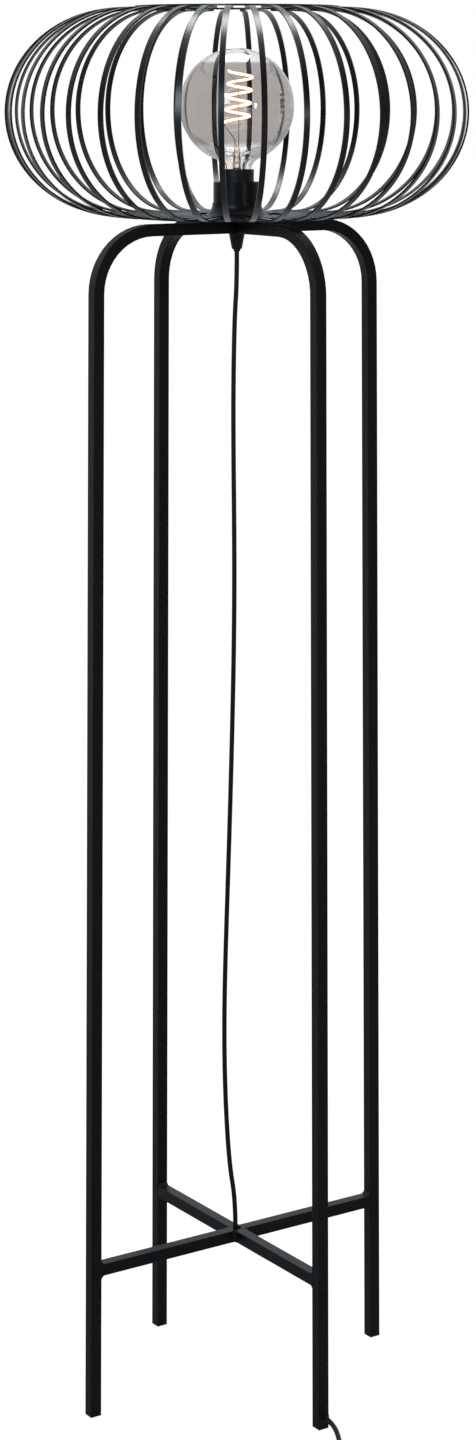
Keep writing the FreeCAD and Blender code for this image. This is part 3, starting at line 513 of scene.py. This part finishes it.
def pan_head_screw(bm, low, high):
    """A screw with a domed head and a cross recess, in the box of its plain solid."""
    middle = (low + high) / 2
    head = (high.x - low.x) / 2
    rise = 2.2 * MM
    dome = 0.6 * rise
    dome_steps = 5
    rim = 0.62 * head
    shank = 0.5 * head
    chamfer = 0.4 * MM
    recess_arm, recess_half = 0.42 * head, 0.11 * head
    recess_depth = 1.1 * MM
    part = bmesh.new()
    profile = [(0.0, low.z), (shank * 0.8, low.z), (shank, low.z + chamfer), (shank, high.z - rise),
               (head, high.z - rise), (head, high.z - dome)]
    for k in range(1, dome_steps + 1):
        t = k / dome_steps * math.pi / 2
        profile.append((rim + (head - rim) * math.cos(t), high.z - dome * (1 - math.sin(t))))
    spun_profile(part, profile, 32)
    bmesh.ops.remove_doubles(part, verts=part.verts, dist=SEAM)
    outer = [edge for edge in part.edges if edge.is_boundary]
    recess = []
    for k in range(4):
        turn = Matrix.Rotation(k * math.pi / 2, 3, "Z")
        for x, y in ((recess_arm, -recess_half), (recess_arm, recess_half), (recess_half, recess_half)):
            recess.append(part.verts.new(turn @ Vector((x, y, high.z))))
    inner = [part.edges.new(pair) for pair in zip(recess, recess[1:] + recess[:1])]
    bmesh.ops.triangle_fill(part, use_beauty=True, edges=outer + inner)
    walls = bmesh.ops.extrude_edge_only(part, edges=inner)
    floor = [item for item in walls["geom"] if isinstance(item, bmesh.types.BMVert)]
    bmesh.ops.scale(part, vec=(0.6, 0.6, 1.0), verts=floor)
    bmesh.ops.translate(part, vec=(0, 0, -recess_depth), verts=floor)
    rims = [item for item in walls["geom"] if isinstance(item, bmesh.types.BMEdge)]
    bmesh.ops.contextual_create(part, geom=[edge for edge in rims if edge.is_boundary])
    bmesh.ops.translate(part, vec=(middle.x, middle.y, 0), verts=part.verts)
    mesh = bpy.data.meshes.new("screw_part")
    part.to_mesh(mesh)
    part.free()
    bm.from_mesh(mesh)
    bpy.data.meshes.remove(mesh)


def smooth_shaded(*nodes):
    """Shades CAD nodes that stay as round, not faceted."""
    for node in nodes:
        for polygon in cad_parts[node].data.polygons:
            polygon.use_smooth = True


# ---------------------------------------------------------------- routes of the lead, in metres
def hanging_route():
    """From the gland's tip to the hole in the lower cross: a slow wave, pulled aside low down."""
    top = GLAND_LOW.z
    low = CROSS_HIGH.z - 1.2 * MM
    drop = top - low
    across = Vector((0.833, -0.553, 0.0))
    away = Vector((0.553, 0.833, 0.0))
    # In mm: how far one, two, three and more half waves swing across the view, and how far off the end is.
    sways = (-7.4, 4.6, -3.7, 0.3, -0.8)
    aside = -1.9
    swing_away = 2.0
    runs = 15
    points = [Vector((0, 0, top)), Vector((0, 0, top - 0.48 * drop / runs))]
    for k in range(1, runs):
        t = k / runs
        sway = t * aside + sum(size * math.sin(math.pi * (n + 1) * t) for n, size in enumerate(sways))
        depth = swing_away * math.sin(3 * math.pi * t)
        points.append((across * sway + away * depth) * MM + Vector((0, 0, top - t * drop)))
    points.append(Vector((aside * MM, 0, low + 0.45 * drop / runs)))
    points.append(Vector((aside * MM, 0, low)))
    return points


def floor_route():
    """From the bushing by the foot down to the floor and along it to the switch, a little to one side."""
    start = BUSHING_LOW.y - 0.02 * MM
    level = (BUSHING_LOW.z + BUSHING_HIGH.z) / 2
    return [Vector((0, start, level)), Vector((0, start - 16 * MM, level)),
            Vector((-9 * MM, start - 40.7 * MM, 5.2 * MM)),
            Vector((-27 * MM, SWITCH_HIGH.y + 21 * MM, 5.6 * MM)),
            Vector((SWITCH_X, SWITCH_HIGH.y + 0.7 * MM, SWITCH_LEAD_Z))]


def coil_place(u):
    """Point of the coil after u turns: in on the lower layer, out on the upper one."""
    angle = -math.pi / 2 - 2 * math.pi * u
    inner = COIL_RADIUS - COIL_PITCH * INWARD_TURNS
    past = u - INWARD_TURNS
    if past <= 0:
        radius = COIL_RADIUS - COIL_PITCH * u
        height = COIL_LOW
    elif past < CLIMB_TURNS:
        radius = inner - COIL_PITCH * (CLIMB_TURNS / 2 - abs(past - CLIMB_TURNS / 2))
        height = COIL_LOW + COIL_PITCH * (1 - math.cos(math.pi * past / CLIMB_TURNS)) / 2
    else:
        radius = inner + COIL_PITCH * (past - CLIMB_TURNS)
        height = COIL_LOW + COIL_PITCH
    return Vector((COIL_X + radius * math.cos(angle), COIL_Y + radius * math.sin(angle), height)) * MM


def plug_route():
    """From the switch, round to the coil, through its turns and out to the plug."""
    per_turn = 16
    start_way = (coil_place(0.001) - coil_place(0.0)).normalized()
    end_way = (coil_place(COIL_TURNS) - coil_place(COIL_TURNS - 0.001)).normalized()
    start = coil_place(0.0) - start_way * 5.2 * MM
    end = coil_place(COIL_TURNS) + end_way * 5.2 * MM
    plug_x = end.x - 1.0 * MM
    last_bend = start - start_way * 28 * MM
    front = SWITCH_LOW.y
    points = [Vector((SWITCH_X, front - 0.7 * MM, SWITCH_LEAD_Z)),
              Vector((SWITCH_X, front - 26 * MM, 6.5 * MM)),
              Vector((SWITCH_X - 9.3 * MM, start.y + 24.6 * MM, 4.3 * MM)),
              Vector((last_bend.x + 21 * MM, start.y + 11.4 * MM, COIL_LOW * MM)), last_bend]
    points += [coil_place(k / per_turn) for k in range(int(COIL_TURNS * per_turn) + 1)]
    points += [end + end_way * 12 * MM, Vector((plug_x, -313 * MM, PLUG_LEAD_Z)),
               Vector((plug_x, PLUG_LOW.y, PLUG_LEAD_Z))]
    return points


def lead_curve(name, points, width, material):
    """A round lead on one smooth open spline."""
    curve = bpy.data.curves.new(name, "CURVE")
    curve.dimensions = "3D"
    curve.bevel_depth = width / 2
    curve.bevel_resolution = 5
    curve.use_fill_caps = True
    curve.resolution_u = 8
    spline = curve.splines.new("NURBS")
    spline.points.add(len(points) - 1)
    for control, point in zip(spline.points, points):
        control.co = (*point, 1.0)
    spline.order_u = 3
    spline.use_endpoint_u = True
    curve.materials.append(material)
    thing = link(bpy.data.objects.new(name, curve))
    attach(thing, "lamp")
    return thing


# ---------------------------------------------------------------- operators
class LAMP_OT_camera_and_stage(bpy.types.Operator):
    """Sets the camera of the photograph, the pale floor, the white background and the softboxes"""
    bl_idname = "lamp.camera_and_stage"
    bl_label = "Camera and Stage"

    def execute(self, context):
        stage, _, _ = settings()
        self.aim_camera(context, stage)
        self.lay_floor()
        self.light_room(context, stage)
        self.softbox("left_softbox", stage.left_softbox, *LEFT_SOFTBOX)
        self.softbox("right_softbox", stage.right_softbox, *RIGHT_SOFTBOX)
        self.softbox("top_softbox", stage.top_softbox, *TOP_SOFTBOX)
        context.scene.view_settings.view_transform = "Standard"
        return {"FINISHED"}

    def aim_camera(self, context, stage):
        """The camera stands on a circle round the lamp's axis and looks a little down."""
        data = bpy.data.cameras.new("photo_camera")
        data.lens = stage.lens_length
        data.sensor_width = 36.0
        data.sensor_fit = "AUTO"
        data.shift_x, data.shift_y = stage.frame_shift
        data.clip_end = 100.0
        camera = link(bpy.data.objects.new("photo_camera", data))
        turn = stage.camera_azimuth
        back = Vector((math.sin(turn), -math.cos(turn), 0.0))
        camera.location = back * stage.camera_distance + Vector((0, 0, stage.camera_height))
        camera.rotation_euler = (math.pi / 2 - stage.camera_tilt, 0.0, turn)
        context.scene.camera = camera

    def lay_floor(self):
        """A round floor that looks white to the camera and grey in a reflection."""
        bm = bmesh.new()
        bmesh.ops.create_circle(bm, cap_ends=True, segments=96, radius=FLOOR_RADIUS)
        bmesh.ops.translate(bm, verts=bm.verts, vec=(0, 0, -FLOOR_DROP))
        mesh = bpy.data.meshes.new("pale_floor")
        bm.to_mesh(mesh)
        bm.free()
        material, tree = new_finish("pale_floor_paint")
        place = tree.place()
        far = tree.node("ShaderNodeVectorMath", {"operation": "LENGTH"}, [place])[1]
        speckle = tree.noise(place, 40.0, 3.0)
        paint = tree.mixed(speckle, (0.84, 0.84, 0.84, 1.0), (0.87, 0.87, 0.87, 1.0))
        matt = tree.node("ShaderNodeBsdfDiffuse", None, {"Color": paint})[0]
        camera, glossy, through = tree.rays()
        # In a reflection it is dim before the lamp and brighter behind it.
        behind = tree.between(tree.dot(place, AWAY), -0.2, 2.0, 0.26, 0.62)
        # Otherwise it glows white; near the lamp a share of it is matt paint, so the glow is stronger there.
        bright = tree.between(far, 0.6, 2.6, 1.27, 1.04)
        strength = glossy * behind + (1.0 - glossy) * bright
        cool = tree.mixed(glossy, WHITE, COOL_WHITE)
        glow = tree.node("ShaderNodeEmission", None, {"Color": cool, "Strength": strength})[0]
        share = glossy + (camera + through) * tree.between(far, 0.6, 2.2, 0.72, 1.0)
        tree.output(tree.node("ShaderNodeMixShader", None, [share, matt, glow])[0])
        mesh.materials.append(material)
        link(bpy.data.objects.new("pale_floor", mesh))

    def light_room(self, context, stage):
        """White for the camera, soft light from all round, and its own tones in reflections and glass."""
        world = bpy.data.worlds.new("white_studio")
        context.scene.world = world
        tree = Tree(world)
        camera, glossy, through = tree.rays()
        way = tree.node("ShaderNodeTexCoord")[0]
        # In a reflection the room is bright behind and over the lamp, and dark elsewhere.
        behind = tree.between(tree.dot(way, UP_BEHIND), -0.3, 0.9, 0.08, 0.9)
        mirrored = tree.mixed(behind, BLACK, COOL_WHITE)
        colour = tree.mixed(glossy, tint(ROOM_WHITE, stage.room_light), mirrored)
        # Through glass it is white straight on and greyer where the ray is bent aside.
        straight = tree.between(tree.dot(way, DOWN_THE_VIEW), 0.70, 0.88)
        refracted = tree.mixed(straight, (0.70, 0.69, 0.68, 1.0), WHITE)
        colour = tree.mixed(through, colour, refracted)
        colour = tree.mixed(camera, colour, WHITE)
        background = tree.node("ShaderNodeBackground", None, {"Color": colour, "Strength": 1.0})[0]
        tree.output(background, "ShaderNodeOutputWorld")

    def softbox(self, name, power, place, size, colour):
        """A rectangular light that looks at the lamp."""
        data = bpy.data.lights.new(name, "AREA")
        data.shape = "RECTANGLE"
        data.size, data.size_y = size
        data.energy = power
        data.color = colour
        lamp = link(bpy.data.objects.new(name, data))
        lamp.location = place
        aim = Vector(SOFTBOX_AIM) - Vector(place)
        lamp.rotation_euler = aim.to_track_quat("-Z", "Y").to_euler()


class LAMP_OT_leads(bpy.types.Operator):
    """Lays the hanging lead, the lead on the floor, its coil and the strain reliefs"""
    bl_idname = "lamp.leads"
    bl_label = "Leads"

    def execute(self, context):
        _, cords, finishes = settings()
        width = cords.lead_width
        sheath = lead_sheath("lead_sheath", finishes.lead_colour)
        moulded = moulded_plastic("relief_rubber", finishes.lead_colour, roughness=0.5, grain=900.0)
        hanging = lead_curve("hanging_lead_sheath", hanging_route(), width, sheath)
        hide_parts("hanging_lead")
        floor = lead_curve("floor_lead_sheath", floor_route(), width, sheath)
        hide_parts("floor_lead")
        rear_end = Vector((SWITCH_X, SWITCH_HIGH.y, SWITCH_LEAD_Z))
        rear = self.relief("switch_rear_relief", rear_end, Vector((3, 20.3, -3.4)), cords, moulded)
        plug = lead_curve("plug_lead_sheath", plug_route(), width, sheath)
        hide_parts("switch_to_coil_lead", "lead_coil", "coil_to_plug_lead")
        front_end = Vector((SWITCH_X, SWITCH_LOW.y, SWITCH_LEAD_Z))
        front = self.relief("switch_front_relief", front_end, Vector((0, -25.3, -2.5)), cords, moulded)
        route = plug_route()
        end = self.relief("plug_relief", route[-1], route[-2] - route[-1], cords, moulded, 0.021)
        dress(sheath, "lead_in_frame", "lead_in_nipple")
        dress(ribbed_strap("tie_strap", JET), "coil_tie")
        return {"FINISHED"}

    def relief(self, name, place, way, cords, material, length=None):
        """A tapered sleeve with rounded ribs round the lead, at a housing."""
        length = length or cords.relief_length
        bore = cords.lead_width / 2
        wide, narrow = bore + 2.1 * MM, bore + 0.6 * MM
        ripple_height = 0.35 * MM
        sunk = 1.0 * MM
        ribs = 5
        steps = 6
        profile = [(bore * 0.9, -sunk), (wide, -sunk)]
        for k in range(ribs * steps + 1):
            t = k / (ribs * steps)
            ripple = ripple_height * abs(math.cos(math.pi * ribs * t))
            profile.append((wide + (narrow - wide) * t - ripple_height + ripple, length * t))
        profile.append((bore * 0.9, length))
        bm = spun_profile(bmesh.new(), profile, 28)
        bmesh.ops.transform(bm, matrix=aimed(place, way), verts=bm.verts)
        return piece_from(name, bm, material, "lamp")


class LAMP_OT_frame_coat(bpy.types.Operator):
    """Coats the arches, the lower cross, the welds, the soles and the bushing"""
    bl_idname = "lamp.frame_coat"
    bl_label = "Frame Coat"

    def execute(self, context):
        _, _, finishes = settings()
        coat = powder_coat("frame_powder_coat", finishes.powder_colour)
        dress(coat, "long_arch", "front_half_arch", "rear_half_arch", "long_stretcher",
              "front_half_stretcher", "rear_half_stretcher", "cross_welds", "centre_spacer")
        plastic = moulded_plastic("sole_plastic", finishes.plastic_colour, roughness=0.55, grain=700.0)
        dress(plastic, "leg_soles", "exit_bushing")
        return {"FINISHED"}


class LAMP_OT_cage_coat(bpy.types.Operator):
    """Coats the strips, the top ring, the base plate and its spacers, and puts in the pan head screws"""
    bl_idname = "lamp.cage_coat"
    bl_label = "Cage Coat"

    def execute(self, context):
        _, _, finishes = settings()
        coat = powder_coat("cage_powder_coat", finishes.powder_colour, grain=1100.0, roughness=0.25,
                           dust_and_top_light_level=0.4, gloss=0.48)
        strips = [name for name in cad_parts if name.startswith("cage_strips_")]
        dress(coat, *strips)
        dress(coat, "cage_top_ring", "cage_base_plate", "cage_spacers")
        steel = turned_metal("blackened_screw_steel", BLACKENED_STEEL, roughness=0.34)
        bm = bmesh.new()
        for low, high in solids_of("cage_screws"):
            pan_head_screw(bm, low, high)
        screws = piece_from("cage_pan_screws", bm, steel, "lamp", smooth=False)
        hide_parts("cage_screws")
        return {"FINISHED"}


class LAMP_OT_holder_finish(bpy.types.Operator):
    """Finishes the flared foot, the cup, the lampholder and what sits inside it"""
    bl_idname = "lamp.holder_finish"
    bl_label = "Holder Finish"

    def execute(self, context):
        _, _, finishes = settings()
        coat = powder_coat("holder_powder_coat", finishes.powder_colour, grain=1300.0, roughness=0.3,
                           dust_and_top_light_level=0.3)
        dress(coat, "flared_foot", "holder_cup")
        plastic = moulded_plastic("holder_plastic", finishes.plastic_colour, roughness=0.45)
        dress(plastic, "holder_body", "closing_ring", "cord_gland")
        steel = turned_metal("zinc_steel", ZINC, roughness=0.3)
        dress(steel, "threaded_nipple", "plate_nut", "cup_nut", "gland_grip_screw", "terminal_screws")
        brass = turned_metal("brass_leaf", BRASS, roughness=0.24)
        dress(brass, "screw_shell", "centre_contact")
        dress(glazed_ceramic("white_ceramic", CERAMIC), "holder_core")
        return {"FINISHED"}


class LAMP_OT_bulb_finish(bpy.types.Operator):
    """Finishes the smoked globe, its clear stem, the glowing spiral and the cap"""
    bl_idname = "lamp.bulb_finish"
    bl_label = "Bulb Finish"

    def execute(self, context):
        _, _, finishes = settings()
        globe = smoked_glass("smoked_glass", finishes.smoke_colour, COATED_FROM, COATED_TO)
        dress(globe, "bulb_glass")
        smooth_shaded("bulb_glass", "bulb_stem", "spiral_filament", "filament_supports")
        dress(clear_glass("stem_glass"), "bulb_stem")
        hot_wire = glowing_wire("glowing_filament", finishes.glow_colour, finishes.glow_strength)
        dress(hot_wire, "spiral_filament")
        dress(turned_metal("support_wire", SUPPORT_METAL, roughness=0.35), "filament_supports")
        self.sleeve(finishes)
        self.lead_wires()
        dress(turned_metal("cap_metal", CAP_METAL, roughness=0.26), "bulb_cap", "bulb_contact")
        insulator = moulded_plastic("black_glass_insulator", JET, roughness=0.12, grain=400.0)
        dress(insulator, "bulb_insulator")
        return {"FINISHED"}

    def sleeve(self, finishes):
        """The filament's phosphor coat: the wire's own shape, a little thicker."""
        haze = glow_sleeve("phosphor_haze", finishes.glow_colour, strength=2.6)
        thickness = 0.55 * MM
        bm = mesh_of("spiral_filament")
        bmesh.ops.recalc_face_normals(bm, faces=bm.faces)
        bm.normal_update()
        for vert in bm.verts:
            vert.co += vert.normal * thickness
        piece_from("filament_phosphor", bm, haze, "bulb")

    def lead_wires(self):
        """Two copper lead wires in the stem, with the bead where they are sealed in."""
        copper = turned_metal("lead_wire_copper", COPPER, roughness=0.3)
        middle = (STEM_LOW + STEM_HIGH) / 2
        low = STEM_LOW.z + 1.0 * MM
        tall = STEM_HIGH.z - 3.0 * MM - low
        wire = 0.5 * MM
        bead = 1.0 * MM
        from_middle = 2.0 * MM
        bm = bmesh.new()
        for side in (-1, 1):
            place = Vector((middle.x, middle.y, low + tall / 2)) + side * from_middle * Vector(ACROSS)
            bmesh.ops.create_cone(bm, cap_ends=True, segments=12, radius1=wire, radius2=wire,
                                  depth=tall, matrix=Matrix.Translation(place))
            seal = Matrix.Translation(place + Vector((0, 0, 0.18 * tall))) @ Matrix.Diagonal((1, 1, 2.4, 1))
            bmesh.ops.create_uvsphere(bm, u_segments=16, v_segments=10, radius=bead, matrix=seal)
        piece_from("stem_lead_wires", bm, copper, "bulb")


class LAMP_OT_switch_and_plug(bpy.types.Operator):
    """Finishes the foot switch with its inside, and the plug with its pins"""
    bl_idname = "lamp.switch_and_plug"
    bl_label = "Switch and Plug"

    def execute(self, context):
        _, _, finishes = settings()
        housing = moulded_plastic("switch_plastic", finishes.plastic_colour, roughness=0.4, grain=900.0)
        dress(housing, "switch_tray", "switch_cover", "plug_body")
        cap = moulded_plastic("button_plastic", finishes.plastic_colour, roughness=0.3, grain=1600.0)
        dress(cap, "switch_button")
        self.button_ribs(cap)
        block = moulded_plastic("contact_block_plastic", GREY_PLASTIC, roughness=0.5)
        dress(block, "switch_contact_block")
        steel = turned_metal("switch_steel", ZINC, roughness=0.28)
        dress(steel, "switch_screws")
        self.return_spring(steel)
        dress(turned_metal("pin_nickel", NICKEL, roughness=0.2), "plug_pins")
        return {"FINISHED"}

    def return_spring(self, material):
        """The button's spring: a helix of round wire."""
        low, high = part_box("switch_spring")
        middle = (low + high) / 2
        wire = 0.5 * MM
        turns = 4
        steps = 24 * turns
        rise = (high.z - low.z - 2 * wire) / steps
        foot = Matrix.Translation((high.x - wire, middle.y, low.z + wire))
        upright = Matrix.Rotation(math.pi / 2, 4, "X")
        bm = bmesh.new()
        bmesh.ops.create_circle(bm, cap_ends=False, segments=12, radius=wire, matrix=foot @ upright)
        bmesh.ops.spin(bm, geom=list(bm.verts) + list(bm.edges), cent=(middle.x, middle.y, 0),
                       axis=(0, 0, 1), dvec=(0, 0, rise), angle=2 * math.pi * turns, steps=steps,
                       use_merge=False)
        bmesh.ops.holes_fill(bm, edges=[edge for edge in bm.edges if edge.is_boundary], sides=0)
        spring = piece_from("return_spring", bm, material, "lamp")
        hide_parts("switch_spring")
        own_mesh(spring)

    def button_ribs(self, material):
        """Grip ribs across the top of the foot switch's button."""
        low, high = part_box("switch_button")
        middle = (low + high) / 2
        span = min(high.x - low.x, high.y - low.y)
        pitch = 0.17 * span
        sizes = Matrix.Diagonal((0.48 * span, 0.9 * MM, 0.8 * MM, 1))
        bm = bmesh.new()
        for k in (-1, 0, 1):
            place = Matrix.Translation((middle.x, middle.y + pitch * k, high.z))
            bmesh.ops.create_cube(bm, size=1.0, matrix=place @ sizes)
        bmesh.ops.bevel(bm, geom=bm.edges, offset=0.25 * MM, offset_type="OFFSET", segments=2, profile=0.5,
                        affect="EDGES", material=-1)
        piece_from("button_ribs", bm, material, "switch_button", smooth=False)


class LAMP_PT_panel(bpy.types.Panel):
    """Lists the steps that dress the lamp"""
    bl_idname = "LAMP_PT_panel"
    bl_label = "Cage Lamp"
    bl_space_type = "VIEW_3D"
    bl_region_type = "UI"
    bl_category = "Cage Lamp"

    def draw(self, context):
        for step in STEPS:
            self.layout.operator(step.bl_idname)
        for group in settings():
            box = self.layout.box()
            for name in group.bl_rna.properties.keys():
                if name not in {"rna_type", "name"}:
                    box.prop(group, name)


STEPS = (LAMP_OT_camera_and_stage, LAMP_OT_leads, LAMP_OT_frame_coat, LAMP_OT_cage_coat,
         LAMP_OT_holder_finish, LAMP_OT_bulb_finish, LAMP_OT_switch_and_plug)
CLASSES = (LampStageSettings, LampCordSettings, LampFinishSettings) + STEPS + (LAMP_PT_panel,)


def register():
    for item in CLASSES:
        bpy.utils.register_class(item)
    bpy.types.Scene.lamp_stage = bpy.props.PointerProperty(type=LampStageSettings)
    bpy.types.Scene.lamp_cords = bpy.props.PointerProperty(type=LampCordSettings)
    bpy.types.Scene.lamp_finishes = bpy.props.PointerProperty(type=LampFinishSettings)


def unregister():
    del bpy.types.Scene.lamp_finishes
    del bpy.types.Scene.lamp_cords
    del bpy.types.Scene.lamp_stage
    for item in reversed(CLASSES):
        bpy.utils.unregister_class(item)


def main():
    register()
    for step in STEPS:
        group, name = step.bl_idname.split(".")
        getattr(getattr(bpy.ops, group), name)()


if __name__ == "__main__":
    main()
